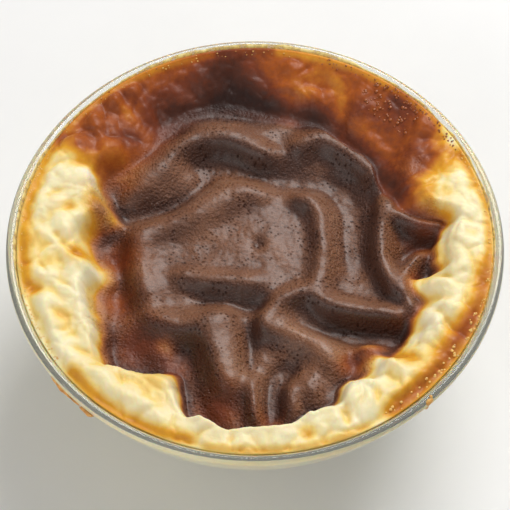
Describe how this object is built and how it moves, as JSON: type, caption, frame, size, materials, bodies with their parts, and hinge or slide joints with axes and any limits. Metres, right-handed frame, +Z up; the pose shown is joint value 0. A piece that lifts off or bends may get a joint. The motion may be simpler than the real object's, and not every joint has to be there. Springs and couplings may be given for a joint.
{
  "type": "baked rice pudding",
  "caption": "Oven-baked rice pudding set in a round clear glass bowl, with a puffed pale ring and a sunken, wrinkled browned skin.",
  "frame": {"origin": "centre of the bowl's flat base, on the surface it stands on", "axes": "+Z up, along the bowl's height; +Y towards the side where the browned skin reaches the glass; +X to the right seen from the front"},
  "size_m": [0.12, 0.12, 0.0485],
  "materials": {
    "glass_bowl": "clear polished glass",
    "pudding": "soft baked milk and rice, glossy browned skin on top"
  },
  "bodies": {
    "root": {"glass_bowl": "glass_bowl", "pudding": "pudding"}
  },
  "joints": []
}
